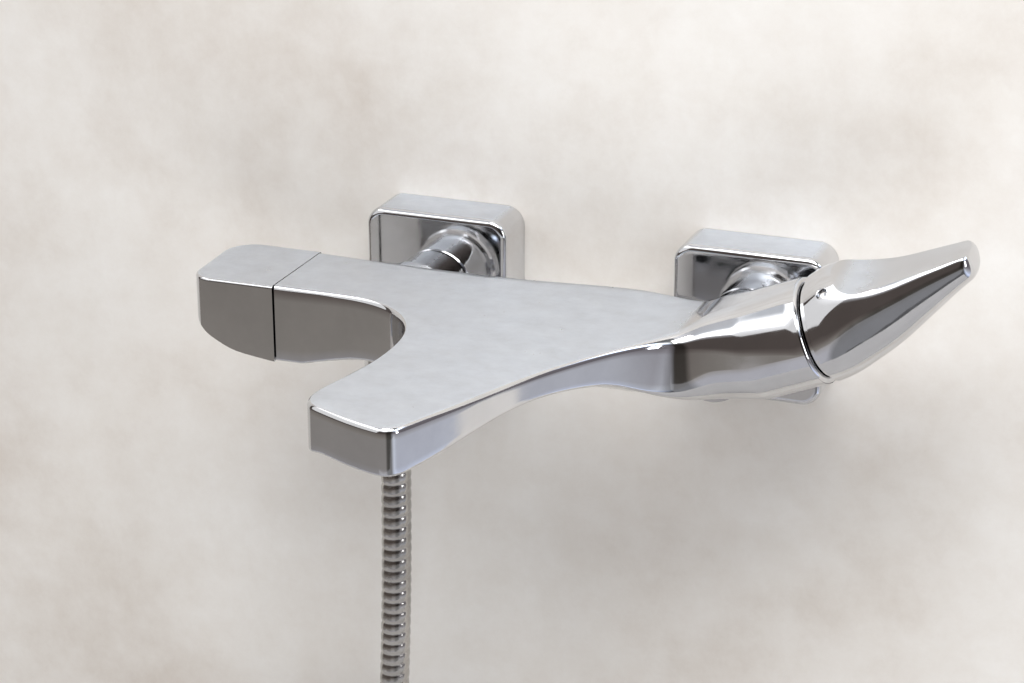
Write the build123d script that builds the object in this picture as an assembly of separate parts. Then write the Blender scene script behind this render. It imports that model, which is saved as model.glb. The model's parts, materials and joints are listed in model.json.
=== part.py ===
from build123d import *
import math
import os

# Wall mounted bath faucet, millimetres.
# Origin: on the wall plane, midway between the two inlets and on their axis.
# +X to the right, +Y into the wall, +Z up.  The spout points towards -Y.

# ---------------------------------------------------------------- driving sizes
INLET_X = 75.0            # half of the 150 mm inlet spacing
PLATE_SIDE = 70.0         # square escutcheon
PLATE_DEPTH = 25.0
PLATE_CORNER = 9.0
PLATE_WALL = 2.0

BODY_AXIS_Y = -82.0       # common distance of barrel and outlet from the wall
TOP_Z = 22.0              # flat top of the body and of the knob
BODY_LOW_Z = -13.5        # underside over the waterways
KNOB_SEAM_X = -117.5
KNOB_END_X = -160.6
REAR_Y = -58.5            # rear of the body at the knob seam
FRONT_Y = -107.5          # front of the left branch
TOP_EDGE_R = 1.4

BARREL_TILT = 24.0        # degrees above horizontal, towards +X
RING_X = 123.0            # centre of the barrel's open end
RING_Z = 23.0
BARREL_R = 25.0           # round upper half of the barrel
BARREL_LOW = 20.5         # flattened lower half
BARREL_RIM_R = 2.5
SEAM_GAP = 3.0            # barrel end to lever skirt
LIFT_PIVOT_S = -12.0      # lever pivot, along the barrel axis from its open end
SKIRT_CAVITY_R = 27.4     # sphere about the pivot that clears the barrel's rim
LEVER_LENGTH = 72.0       # barrel end to lever tip

CARTRIDGE_R = 17.5
CARTRIDGE_BOTTOM_S = -34.0
CARTRIDGE_TOP_S = -8.0
NUT_THREAD_R = 18.0
CLEARANCE = 0.1

SPINDLE_Y = -83.0         # diverter axis, parallel to X
SPINDLE_Z = 4.25
SPINDLE_R = 4.0
HEADWORK_R = 11.0
HEADWORK_END_X = -88.0

THREAD_G12_R = 10.48
THREAD_G34_R = 13.22

AERATOR_X = -17.5
AERATOR_Y = -213.0
AERATOR_R = 11.5

OUTLET_X = -71.5          # shower outlet, pointing down
HOSE_R = 7.0
HOSE_START_Z = -52.0
HOSE_Y = BODY_AXIS_Y
COIL_R = 84.0             # middle of the coil's turns
COIL_ENTRY = 133.0        # degrees round the coil, from +X, where the hose joins it
COIL_TURNS = 2 + (180 - COIL_ENTRY) / 360
STRAND_PITCH = 14.4
TAIL_LENGTH = 60.0

os.makedirs("parts", exist_ok=True)


def save(name, shape):
    """Write one node."""
    export_step(shape, f"parts/{name}.step")


# ---------------------------------------------------------------- frames
TILT = math.radians(BARREL_TILT)
AXIS_DIR = Vector(math.cos(TILT), 0, math.sin(TILT))
UP_DIR = Vector(-math.sin(TILT), 0, math.cos(TILT))
RING_CENTRE = Vector(RING_X, BODY_AXIS_Y, RING_Z)
# local x along +Y, local y "up" across the barrel, local z along its axis
BARREL = Plane(origin=RING_CENTRE, x_dir=(0, 1, 0), z_dir=AXIS_DIR)
# local x along the barrel's axis, local y "up": for side profiles
SIDE = Plane(origin=RING_CENTRE, x_dir=AXIS_DIR, z_dir=(0, -1, 0))
# local x along the barrel's axis, local y along +Y: for plan profiles
PLAN = Plane(origin=RING_CENTRE, x_dir=AXIS_DIR, z_dir=UP_DIR)
# z axis along the diverter's spindle, from the knob seam towards +X
DIVERTER = Plane(origin=(KNOB_SEAM_X, SPINDLE_Y, SPINDLE_Z), z_dir=(1, 0, 0))
OUTLET = Plane(origin=(OUTLET_X, BODY_AXIS_Y, 0))
AERATOR = Plane(origin=(AERATOR_X, AERATOR_Y, 0))


def inlet_plane(x):
    """z axis from the wall outwards, on one inlet's axis."""
    return Plane(origin=(x, 0, 0), z_dir=(0, -1, 0))


def turned(plane, profile):
    """Solid of revolution about the plane's z axis; the profile is a loop of (radius, height)."""
    loop = make_face(Polyline([(radius, 0, height) for radius, height in profile], close=True))
    return plane * revolve(loop, Axis.Z)


def disc(plane, radius, low, high):
    """Cylinder about the plane's z axis between two heights."""
    return extrude(plane.offset(low) * Circle(radius), high - low)


def tube(plane, outer, inner, low, high):
    """Hollow cylinder about the plane's z axis."""
    ring = Circle(outer) - Circle(inner)
    return extrude(plane.offset(low) * ring, high - low)


def rod_between(start, end, radius):
    """Cylinder between two points."""
    start = Vector(*start)
    end = Vector(*end)
    plane = Plane(origin=start, z_dir=end - start)
    return extrude(plane * Circle(radius), (end - start).length)


def oval(plane, half_width, up, low, centre=0.0, power=2.0, points=24):
    """Closed section: a superellipse that may be deeper above its centre than below it."""
    pts = []
    for i in range(points):
        angle = 2 * math.pi * i / points
        cos_a = math.cos(angle)
        sin_a = math.sin(angle)
        reach = up if sin_a > 0 else low
        x = half_width * math.copysign(abs(cos_a) ** (2 / power), cos_a)
        y = centre + reach * math.copysign(abs(sin_a) ** (2 / power), sin_a)
        pts.append((x, y))
    return plane * make_face(Spline(pts, periodic=True))


# ---------------------------------------------------------------- body
def plan_outline():
    """Fish-tail plan of the flat-topped casting, seen from above."""
    rear = ThreePointArc((KNOB_SEAM_X, REAR_Y), (-50, -60.2), (38, -53.8))
    rear_corner = JernArc(rear @ 1, rear % 1, 18, -50)
    barrel_side = Line(rear_corner @ 1, rear_corner @ 1 + (rear_corner % 1) * 20)
    # turns back inside the barrel, then runs out along the barrel's flank
    inside = Spline([barrel_side @ 1, (88, -90), (84, -101.5)], tangents=[barrel_side % 1, (-0.93, -0.37)])
    front_right = Spline(
        [(84, -101.5), (70, -106.6), (49, -129), (25.7, -169), (4.5, -221), (0.5, -230)],
        tangents=[(-0.93, -0.37), (-0.4, -0.917)],
    )
    tip = ThreePointArc((-10, -239), (-25, -234.6), (-41.5, -227.3))
    tip_right = Spline([(0.5, -230), (-3.2, -236.7), (-10, -239)], tangents=[(-0.4, -0.917), tip % 0])
    tip_left = ThreePointArc((-41.5, -227.3), (-47.2, -221.5), (-48.2, -212.5))
    fork_side = Spline([(-48.2, -212.5), (-41.6, -185), (-39.8, -155)], tangents=[tip_left % 1, (0, 1)])
    fork_round = Spline([(-39.8, -155), (-48.8, -125.5), (-80, FRONT_Y)], tangents=[(0, 1), (-1, 0)])
    branch_front = Line((-80, FRONT_Y), (KNOB_SEAM_X, FRONT_Y))
    seam = Line((KNOB_SEAM_X, FRONT_Y), (KNOB_SEAM_X, REAR_Y))
    return [rear, rear_corner, barrel_side, inside, front_right, tip_right, tip, tip_left, fork_side,
            fork_round, branch_front, seam]


def underside_profile():
    """Side profile (Y, Z) of the casting: deep over the waterways, arched under the spout."""
    top = Line((-40, TOP_Z), (-250, TOP_Z))
    nose = Line((-250, TOP_Z), (-250, 4.5))
    arch = Spline([(-250, 4.5), (-215, 6.8), (-176, 11.0), (-136, 8.0), (-110, -0.5), (-84, BODY_LOW_Z)],
                  tangents=[(1, 0.05), (1, 0)])
    belly = Line((-84, BODY_LOW_Z), (-74, BODY_LOW_Z))
    rise = ThreePointArc((-74, BODY_LOW_Z), (-62, -10), (-54, -1))
    back = Polyline((-54, -1), (-40, -1), (-40, TOP_Z))
    return make_face([top, nose, arch, belly, rise, back])


def square_top_section(x, half, low, corner):
    """Cross section of the left branch: square top, rounded underside."""
    plane = Plane(origin=(x, (REAR_Y + FRONT_Y) / 2, 0), x_dir=(0, 1, 0), z_dir=(1, 0, 0))
    k = corner * (1 - math.sqrt(0.5))
    return plane * make_face([
        Line((-half, TOP_Z), (half, TOP_Z)),
        Line((half, TOP_Z), (half, low + corner)),
        ThreePointArc((half, low + corner), (half - k, low + k), (half - corner, low)),
        Line((half - corner, low), (-half + corner, low)),
        ThreePointArc((-half + corner, low), (-half + k, low + k), (-half, low + corner)),
        Line((-half, low + corner), (-half, TOP_Z)),
    ])


def tilted_section(x, y, z, tilt):
    """Plane across the barrel at one station."""
    angle = math.radians(tilt)
    return Plane(origin=(x, y, z), x_dir=(0, 1, 0), z_dir=(math.cos(angle), 0, math.sin(angle)))


def barrel_blank():
    """Tilted barrel growing out of the flat top, up to the ring seam."""
    barrel = loft([
        oval(tilted_section(34, -81.5, 4, 0), 19, 15.0, 13.5, power=3.2),
        oval(tilted_section(70, -81.8, 6.2, 11), 24, 19.0, 17.0, power=2.8),
        oval(tilted_section(97, BODY_AXIS_Y, 12, 21), 24.8, 24.0, 20.3, power=2.2),
        oval(BARREL, BARREL_R, BARREL_R, BARREL_LOW),
    ])
    rim = barrel.faces().sort_by(Axis.X)[-1].edges()
    return fillet(rim, BARREL_RIM_R)


def casting_blank():
    """Outer shape of the casting, before its bores."""
    plate = Location((0, 0, TOP_Z - 60)) * extrude(make_face(plan_outline()), 60)
    top_edges = plate.faces().sort_by(Axis.Z)[-1].edges()
    plate = fillet([edge for edge in top_edges if abs(edge.center().X - KNOB_SEAM_X) > 1], TOP_EDGE_R)
    side_plane = Plane(origin=(-200, 0, 0), x_dir=(0, 1, 0), z_dir=(1, 0, 0))
    shell = plate & extrude(side_plane * underside_profile(), 400)
    # under the barrel the casting rises with it
    wedge = Polyline((46, BODY_LOW_Z), (96, -3), (110, -3), (110, -40), (46, -40), close=True)
    shell -= extrude(Plane(origin=(0, -20, 0), x_dir=(1, 0, 0), z_dir=(0, -1, 0)) * make_face(wedge), 230)
    half = (REAR_Y - FRONT_Y) / 2
    shell += plate & loft([
        square_top_section(KNOB_SEAM_X, half, BODY_LOW_Z, 9),
        square_top_section(-66, half, BODY_LOW_Z, 20),
    ])
    shell += barrel_blank()
    for x in (-INLET_X, INLET_X):
        shell += disc(inlet_plane(x), 15.5, 58, 80)
    return shell + disc(OUTLET, 13.5, -17.5, -6)


def make_body():
    """Casting with its bores, waterways and threaded ports."""
    body = casting_blank()
    body -= disc(BARREL, CARTRIDGE_R + CLEARANCE, CARTRIDGE_BOTTOM_S, 2)
    body -= disc(BARREL, NUT_THREAD_R + CLEARANCE, CARTRIDGE_TOP_S, 2)
    body -= disc(DIVERTER, HEADWORK_R + CLEARANCE, -1, HEADWORK_END_X - KNOB_SEAM_X)
    body -= disc(inlet_plane(-INLET_X), THREAD_G12_R + CLEARANCE, 57, 69)
    body -= disc(inlet_plane(INLET_X), THREAD_G12_R + CLEARANCE, 57, 64)
    # hot way, cold way and mixed way
    body -= rod_between((-INLET_X, -71, 6), (99, -71, 6), 4)
    body -= rod_between((INLET_X, -62, -3), (101, -76, -3), 3)
    body -= rod_between((HEADWORK_END_X - 4, -93, 3), (97, -93, 3), 5)
    # shower outlet and its way from the diverter
    body -= disc(OUTLET, THREAD_G12_R + CLEARANCE, -18, -6)
    body -= disc(OUTLET, 4, -7, 3)
    body -= rod_between((HEADWORK_END_X - 4, BODY_AXIS_Y, 0), (OUTLET_X, BODY_AXIS_Y, 0), 3.5)
    # flat way along the spout, fed by a riser from the diverter
    body -= rod_between((HEADWORK_END_X - 4, -84, 10), (-84, -84, 10), 3.5)
    body -= rod_between((-84, -84, 9), (-84, -84, 16), 3.5)
    spout_line = Polyline((-84, -84), (-50, -96), (-24, -150), (AERATOR_X, AERATOR_Y))
    body -= extrude(Plane.XY.offset(14.2) * trace(spout_line, 8), 4.3)
    return body - disc(AERATOR, AERATOR_R + CLEARANCE, 0, 15.4)


# ---------------------------------------------------------------- aerator
def make_aerator():
    """Threaded housing, cellular insert and washer."""
    housing = turned(AERATOR, [(8.8, 3.5), (11.0, 3.5), (AERATOR_R, 4.2), (AERATOR_R, 14), (9.7, 14),
                               (9.7, 4.8), (8.8, 4.8)])
    insert = disc(AERATOR, 9.6, 4.9, 13.6)
    cells = [Circle(1.0)]
    for count, radius in ((6, 3.0), (12, 6.0)):
        cells += PolarLocations(radius, count) * Circle(1.0)
    for cell in cells:
        insert -= extrude(AERATOR.offset(4) * cell, 11)
    washer = tube(AERATOR, 11.2, 8.4, 14.05, 15.35)
    return {"aerator_housing": housing, "aerator_insert": insert, "aerator_washer": washer}


# ---------------------------------------------------------------- diverter
KNOB_GAP = 0.5
KNOB_RIGHT_X = KNOB_SEAM_X - KNOB_GAP


def make_knob():
    """Flush-topped knob, its end and underside rounded, hollow behind with a boss for the spindle."""
    plan = make_face([
        Line((KNOB_RIGHT_X, -57.2), (-147, -57.2)),
        ThreePointArc((-147, -57.2), (-156.6, -61.4), (KNOB_END_X, -72)),
        Line((KNOB_END_X, -72), (-159.2, -98)),
        ThreePointArc((-159.2, -98), (-156.2, -106), (-148, -109)),
        Line((-148, -109), (KNOB_RIGHT_X, -108.6)),
        Line((KNOB_RIGHT_X, -108.6), (KNOB_RIGHT_X, -57.2)),
    ])
    side_plane = Plane(origin=(0, -40, 0), x_dir=(1, 0, 0), z_dir=(0, -1, 0))
    side = make_face([
        Line((KNOB_RIGHT_X, BODY_LOW_Z), (KNOB_RIGHT_X, TOP_Z)),
        Line((KNOB_RIGHT_X, TOP_Z), (-170, TOP_Z)),
        Line((-170, TOP_Z), (-170, 10)),
        Line((-170, 10), (-162, 10)),
        Spline([(-162, 10), (-158, 2.0), (-145, -7.5), (KNOB_RIGHT_X, BODY_LOW_Z)],
               tangents=[(0.25, -1), (1, -0.12)]),
    ])
    knob = (Location((0, 0, -30)) * extrude(plan, 60)) & extrude(side_plane * side, 90)
    top_edges = knob.faces().sort_by(Axis.Z)[-1].edges()
    knob = fillet([edge for edge in top_edges if edge.center().X < KNOB_RIGHT_X - 1], TOP_EDGE_R)
    hollow_plane = Plane(origin=(KNOB_RIGHT_X, SPINDLE_Y, SPINDLE_Z + 1), x_dir=(0, 1, 0), z_dir=(-1, 0, 0))
    hollow = extrude(hollow_plane * RectangleRounded(42, 25, 5), 18)
    knob -= hollow - disc(DIVERTER, 8.5, -30, 2)
    knob -= disc(DIVERTER, SPINDLE_R + 0.02, -17, 1)
    screw_plane = Plane(origin=(-127, SPINDLE_Y, 0))
    return knob - disc(screw_plane, 2.02, -20, 2)


def make_headwork():
    """Quarter-turn diverter headwork inside the body, with its spindle reaching into the knob."""
    housing = turned(DIVERTER, [(4.06, 0.7), (HEADWORK_R, 0.7), (HEADWORK_R, 26.5), (7.6, 26.5),
                                (7.6, 5.5), (4.06, 5.5)])
    spindle = turned(DIVERTER, [(0, -16.5), (3.4, -16.5), (SPINDLE_R, -15.9), (SPINDLE_R, 5.8), (7.5, 5.8),
                                (7.5, 12.5), (6.2, 12.5), (6.2, 14.1), (7.5, 14.1), (7.5, 20.3),
                                (0, 20.3)])
    turning = disc(DIVERTER, 7.5, 20.4, 23.4)
    fixed = disc(DIVERTER, 7.55, 23.5, 26.5)
    for angle in (0, 180):
        port = DIVERTER * Location((4 * math.cos(math.radians(angle)), 4 * math.sin(math.radians(angle)), 23))
        fixed -= extrude(port * Circle(1.8), 5)
    seals = tube(DIVERTER, 7.56, 6.25, 12.6, 14.0)
    end_seal = tube(DIVERTER, 10.4, 7.8, 26.6, 28.6)
    return {
        "headwork_housing": housing,
        "headwork_spindle": spindle,
        "headwork_turning_disc": turning,
        "headwork_fixed_disc": fixed,
        "headwork_spindle_seal": seals,
        "headwork_end_seal": end_seal,
    }


def make_knob_screw():
    """Grub screw that holds the knob on its spindle, with a hexagon socket."""
    plane = Plane(origin=(-127, SPINDLE_Y, 0))
    screw = disc(plane, 2.0, -7.8, SPINDLE_Z - SPINDLE_R - 0.02)
    socket = extrude(plane.offset(-8) * RegularPolygon(1.0, 6, major_radius=False), 2.5)
    return screw - socket


# ---------------------------------------------------------------- cartridge
CARTRIDGE_PORTS = ((7.5, 90), (7.5, 210), (7.5, 330))
LIFT_PIVOT = RING_CENTRE + AXIS_DIR * LIFT_PIVOT_S


def port_holes(radius, low, high):
    """Three ports through the cartridge's base and lower disc."""
    holes = []
    for reach, angle in CARTRIDGE_PORTS:
        turn = math.radians(angle)
        spot = BARREL.offset(low) * Location((reach * math.cos(turn), reach * math.sin(turn), 0))
        holes.append(extrude(spot * Circle(radius), high - low))
    return holes


def make_cartridge_shell():
    """Fixed pieces of the cartridge: housing, base, seals, lower disc and retaining nut."""
    r = CARTRIDGE_R
    housing = turned(BARREL, [(12.2, -8.05), (r, -8.05), (r, -31), (14.5, -31), (14.5, -10), (12.2, -10)])
    base = disc(BARREL, r, -33.5, -31.05)
    fixed = disc(BARREL, 14.4, -31.0, -27.5)
    seals = None
    for hole in port_holes(3.0, -34, -27):
        base -= hole
        fixed -= hole
    for outer, inner in zip(port_holes(4.5, -33.95, -32.8), port_holes(3.3, -33.95, -32.8)):
        ring = outer - inner
        base -= ring
        seals = ring if seals is None else seals + ring
    nut = tube(BARREL, NUT_THREAD_R, 11.5, CARTRIDGE_TOP_S, -1.4)
    for angle in (0, 90):
        slot = BARREL.offset(-4) * Rot(0, 0, angle) * Rectangle(27, 4)
        nut -= extrude(slot, 4)
    ring_band = oval(BARREL.offset(0.6), 22.4, 22.4, 18.2) - BARREL.offset(0.6) * Circle(12.6)
    cover = extrude(ring_band, 1.4) + tube(BARREL, 17.9, 12.6, -1.3, 0.6)
    return {
        "cartridge_housing": housing,
        "cartridge_base": base,
        "cartridge_seals": seals,
        "cartridge_fixed_disc": fixed,
        "cartridge_nut": nut,
        "cover_ring": cover,
    }


def make_cartridge_works():
    """Turning and sliding pieces of the cartridge."""
    slot = extrude(BARREL.offset(-20) * Location((0, 0.75, 0)) * Rectangle(7.2, 16.5), 20)
    rotor = disc(BARREL, 14.42, -19.2, -10.3) + disc(BARREL, 11.3, -10.3, -4)
    pin_plane = Plane(origin=LIFT_PIVOT, z_dir=(0, 1, 0))
    rotor = rotor - slot - disc(pin_plane, 1.52, -11, 11)
    pin = disc(pin_plane, 1.5, -10.5, 10.5)
    shank = extrude(BARREL.offset(-14.5) * RectangleRounded(7, 7, 1), 34.5)
    lower = disc(BARREL, 2.0, -20, -14.5)
    ball = Plane(origin=RING_CENTRE + AXIS_DIR * -20) * Sphere(2.8)
    stem = shank + lower + ball - disc(pin_plane, 1.56, -11, 11)
    moving = disc(BARREL, 10.5, -27.45, -24.0) - disc(BARREL, 6.0, -28, -25.6)
    carrier = disc(BARREL, 10.5, -23.95, -19.5) - disc(BARREL, 3.1, -23.2, -19)
    return {
        "cartridge_rotor": rotor,
        "pivot_pin": pin,
        "lever_stem": stem,
        "cartridge_moving_disc": moving,
        "disc_carrier": carrier,
    }


# ---------------------------------------------------------------- lever
FLAT_N = 18.0             # the lever's flat top, above the barrel's axis
FLAT_ROLL = 6.5           # the flat's roll about that axis, lower at the front
PLUG_ANGLE = 40.0         # from straight up towards the front
PLUG_S = 12.0
PLUG_TURN = math.radians(PLUG_ANGLE)
PLUG_DIR = UP_DIR * math.cos(PLUG_TURN) + Vector(0, -math.sin(PLUG_TURN), 0)
PLUG = Plane(origin=RING_CENTRE + AXIS_DIR * PLUG_S, z_dir=PLUG_DIR)


def lever_blank():
    """Round skirt tapering to a narrow tip, its top cut flat and slightly hollow."""
    blank = loft([
        oval(BARREL.offset(SEAM_GAP), BARREL_R, BARREL_R, BARREL_LOW),
        oval(BARREL.offset(14), 24.2, 24.4, 18.6, centre=0.2, power=2.1),
        oval(BARREL.offset(34), 20.0, 21.0, 14.6, centre=3.2, power=2.5),
        oval(BARREL.offset(54), 15.2, 15.0, 10.4, centre=8.4, power=2.7),
        oval(BARREL.offset(LEVER_LENGTH), 10.8, 7.5, 6.2, centre=12.2, power=2.7),
    ])
    tip = blank.faces().sort_by(Axis.X)[-1].edges()
    blank = fillet(tip, 3.5)
    above = make_face([
        Line((80, FLAT_N), (26, FLAT_N)),
        ThreePointArc((26, FLAT_N), (18.5, FLAT_N + 2), (12.5, 27)),
        Line((12.5, 27), (80, 27)),
        Line((80, 27), (80, FLAT_N)),
    ])
    axis = Axis(RING_CENTRE, AXIS_DIR)
    blank -= extrude(SIDE.offset(-40) * above, 80).rotate(axis, FLAT_ROLL)
    scoop_plane = Plane(origin=RING_CENTRE + UP_DIR * (FLAT_N + 58.8) + AXIS_DIR * 19, z_dir=AXIS_DIR)
    scoop = extrude(scoop_plane * Circle(60), 46).rotate(axis, FLAT_ROLL)
    return blank - scoop


def make_lever():
    """Lever with a skirt cavity that clears the barrel's rim, a hub, and a socket for the stem."""
    lever = lever_blank()
    pivot_ball = Plane(origin=LIFT_PIVOT) * Sphere(SKIRT_CAVITY_R)
    upper_half = extrude(SIDE.offset(-40) * Location((15, 18)) * Rectangle(60, 40), 80)
    hub = disc(BARREL, 8.5, 9, 20)
    lower_cavity = disc(BARREL, 15.5, 2, 12)
    lever -= (pivot_ball & upper_half) + lower_cavity - hub
    lever -= extrude(BARREL.offset(8) * RectangleRounded(7.04, 7.04, 1), 12.1)
    lever -= disc(PLUG, 2.52, 2, 30)
    return lever


def make_lever_screw():
    """Grub screw that clamps the lever on its stem."""
    screw = disc(PLUG, 2.5, 4.56, 11.5)
    socket = extrude(PLUG.offset(9) * RegularPolygon(1.25, 6, major_radius=False), 3)
    return screw - socket


def make_index_plug():
    """Small plain plug that closes the grub screw's hole."""
    return disc(PLUG, 2.5, 19.5, 24.2)


# ---------------------------------------------------------------- wall side
def make_inlet(x):
    """Pieces between the wall and the body on one inlet."""
    plane = inlet_plane(x)
    deep = 68.8 if x < 0 else 63.8
    tailpiece = turned(plane, [(7, 47.5), (12.4, 47.5), (12.4, 50.5), (THREAD_G12_R, 50.5),
                               (THREAD_G12_R, deep), (7, deep)])
    nut = turned(plane, [
        (13.4, 26.0), (17.0, 26.0), (17.6, 26.6), (17.6, 48.6), (19.2, 49.4), (20.0, 50.4), (20.0, 55.6),
        (19.0, 57.0), (18.4, 57.2), (10.8, 57.2), (10.8, 50.8), (13.4, 50.8),
    ])
    washer = tube(plane, 12.8, 8.0, 45.2, 47.4)
    union = turned(plane, [(6.5, -16), (9.8, -16), (THREAD_G12_R, -15.2), (THREAD_G12_R, 0.5), (12.6, 0.5),
                           (12.6, 27.5), (THREAD_G34_R, 28), (THREAD_G34_R, 44.4), (12.6, 45.1),
                           (6.5, 45.1)])
    return tailpiece, nut, washer, union


def make_escutcheon(x):
    """Square cover with a rounded front edge and a collar round the union, and its gasket."""
    plane = inlet_plane(x)
    plate = extrude(plane * RectangleRounded(PLATE_SIDE, PLATE_SIDE, PLATE_CORNER), PLATE_DEPTH)
    plate = fillet(plate.faces().sort_by(Axis.Y)[0].edges(), 3)
    inner = PLATE_SIDE - 2 * PLATE_WALL
    hollow = extrude(plane * RectangleRounded(inner, inner, PLATE_CORNER - PLATE_WALL), PLATE_DEPTH - 2)
    plate -= hollow - disc(plane, 17, 8, PLATE_DEPTH)
    plate -= disc(plane, 13.7, -1, PLATE_DEPTH + 1)
    seal_out = inner - 0.2
    frame = RectangleRounded(seal_out, seal_out, 6.9) - RectangleRounded(seal_out - 8, seal_out - 8, 4)
    return plate, extrude(plane * frame, 2)


# ---------------------------------------------------------------- shower outlet
def make_outlet():
    """Outlet nipple with a spring-loaded check valve inside."""
    g12 = THREAD_G12_R
    nipple = turned(OUTLET, [(7.6, -6.6), (g12, -6.6), (g12, -17.5), (9.5, -17.6), (9.5, -21.5),
                             (g12, -21.5), (g12, -33.4), (9.8, -34), (5.6, -34), (5.6, -30), (7.6, -30)])
    flats = extrude(OUTLET.offset(-21.5) * RegularPolygon(12, 6, major_radius=False), 4)
    nipple += flats - disc(OUTLET, 7.6, -22, -17)
    cage = turned(OUTLET, [(3.5, -9), (7.5, -9), (7.5, -29.6), (6.0, -29.6), (6.0, -10.5), (3.5, -10.5)])
    spider = disc(OUTLET, 6.2, -29.6, -27.6) - disc(OUTLET, 1.56, -30, -27)
    for angle in (0, 120, 240):
        turn = math.radians(angle)
        hole = OUTLET.offset(-30) * Location((4 * math.cos(turn), 4 * math.sin(turn), 0))
        spider -= extrude(hole * Circle(1.5), 4)
    poppet = turned(OUTLET, [(0, -10.6), (5.2, -10.6), (5.2, -11.8), (1.5, -12.8), (1.5, -29.0),
                             (0, -29.0)])
    coil = Helix(pitch=2.4, height=14.0, radius=3.6)
    wire = Plane(origin=coil @ 0, z_dir=coil % 0) * Circle(0.35)
    spring = OUTLET.offset(-27.2) * sweep(wire, path=coil)
    return {
        "outlet_nipple": nipple,
        "check_valve_cage": cage + spider,
        "check_valve_poppet": poppet,
        "check_valve_spring": spring,
    }


# ---------------------------------------------------------------- hose
# Hand-laid route from the nut down to the coil, (x, z) at y = HOSE_Y.
HOSE_ROUTE = [
    (-71.5, -52.0),
    (-71.8, -92.0),
    (-72.7, -136.0),
    (-74.2, -174.0),
    (-75.9, -203.9),
    (-80.0, -225.5),
    (-88.6, -245.7),
    (-101.2, -263.7),
    (-117.2, -278.7),
]
COIL_X = HOSE_ROUTE[-1][0] - COIL_R * math.cos(math.radians(COIL_ENTRY))
COIL_Z = HOSE_ROUTE[-1][1] - COIL_R * math.sin(math.radians(COIL_ENTRY))


def corner_radii(points):
    """Largest sensible arc at each inner point of a route."""
    radii = []
    for before, here, after in zip(points, points[1:], points[2:]):
        run_in = Vector(*here) - Vector(*before)
        run_out = Vector(*after) - Vector(*here)
        turn = math.radians(run_in.get_angle(run_out))
        radii.append(0.45 * min(run_in.length, run_out.length) / math.tan(turn / 2))
    return radii


def make_hose():
    """Hanging hose, the coil of its put-away length, and its tail."""
    points = [(x, HOSE_Y, z) for x, z in HOSE_ROUTE]
    radii = corner_radii(points)
    print("hose radii", [round(radius) for radius in radii])
    path = FilletPolyline(*points, radius=radii)
    start = Plane(origin=points[0], z_dir=Vector(*points[1]) - Vector(*points[0]))
    hanging = sweep(start * Circle(HOSE_R), path=path)
    print("hanging length", round(path.length, 1), "volume ratio",
          round(hanging.volume / (path.length * math.pi * HOSE_R ** 2), 4))
    print("whole length", round(path.length + 2 * math.pi * COIL_R * COIL_TURNS + TAIL_LENGTH, 1))
    # closed ring that holds all the turns
    rear_y = HOSE_Y + COIL_TURNS * STRAND_PITCH + HOSE_R
    front_y = HOSE_Y - HOSE_R
    bundle = RectangleRounded(2 * HOSE_R, rear_y - front_y, HOSE_R - 0.1)
    centre = Plane(origin=(COIL_X, 0, COIL_Z), x_dir=(1, 0, 0), z_dir=(0, 0, 1))
    section = centre * Location((COIL_R, (front_y + rear_y) / 2)) * bundle
    coil = revolve(section, Axis((COIL_X, 0, COIL_Z), (0, 1, 0)))
    tail_y = HOSE_Y + COIL_TURNS * STRAND_PITCH
    tail_x = COIL_X - COIL_R
    tail_z = COIL_Z - TAIL_LENGTH
    tail = rod_between((tail_x, tail_y, COIL_Z), (tail_x, tail_y, tail_z), HOSE_R)
    cone_plane = Plane(origin=(tail_x, tail_y, tail_z))
    cone = turned(cone_plane, [(0, 0), (7.6, 0), (8.4, -1.5), (11.8, -42), (11.2, -44), (10.6, -44),
                               (10.6, -31), (4, -31), (4, -12), (0, -12)])
    end_washer = tube(cone_plane, 10.2, 4.5, -33.2, -31.1)
    # strap round the bundle
    tie_plane = Plane(origin=(COIL_X, 0, COIL_Z), x_dir=(1, 0, 0), z_dir=(0, 0, 1))
    mid = Location((COIL_R, (front_y + rear_y) / 2))
    width = 2 * HOSE_R + 0.6
    depth = rear_y - front_y + 0.6
    loop = RectangleRounded(width + 3, depth + 3, 4) - RectangleRounded(width, depth, 2.5)
    strap = revolve(tie_plane * mid * loop, Axis((COIL_X, 0, COIL_Z), (0, 1, 0)), 9)
    strap = strap.rotate(Axis((COIL_X, 0, COIL_Z), (0, 1, 0)), -145)
    return {
        "hose_tube": hanging,
        "hose_coil": coil,
        "hose_tail": tail,
        "hose_tie": strap,
        "end_swivel_cone": cone,
        "end_washer": end_washer,
    }


def make_hose_nut():
    """Conical nut on the outlet nipple, with its washer and the hose's ferrule."""
    nut = turned(OUTLET, [(10.7, -23.5), (12.2, -23.5), (12.9, -24.4), (12.9, -36), (9.0, -50.9), (8.2, -51.7),
                          (6.2, -51.7), (6.2, -38.6), (10.7, -38.6)])
    grooves = 12
    for i in range(grooves):
        angle = 2 * math.pi * i / grooves
        spot = OUTLET.offset(-34.5) * Location((13.5 * math.cos(angle), 13.5 * math.sin(angle), 0))
        nut -= extrude(spot * Circle(1.1), 9)
    washer = tube(OUTLET, 10.2, 5.6, -36.2, -34.1)
    ferrule = turned(OUTLET, [(4.2, -36.3), (9.8, -36.3), (9.8, -38.4), (5.9, -38.4), (5.9, -51.7),
                              (4.2, -51.7)])
    return {"hose_nut": nut, "hose_washer": washer, "hose_ferrule": ferrule}


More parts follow.
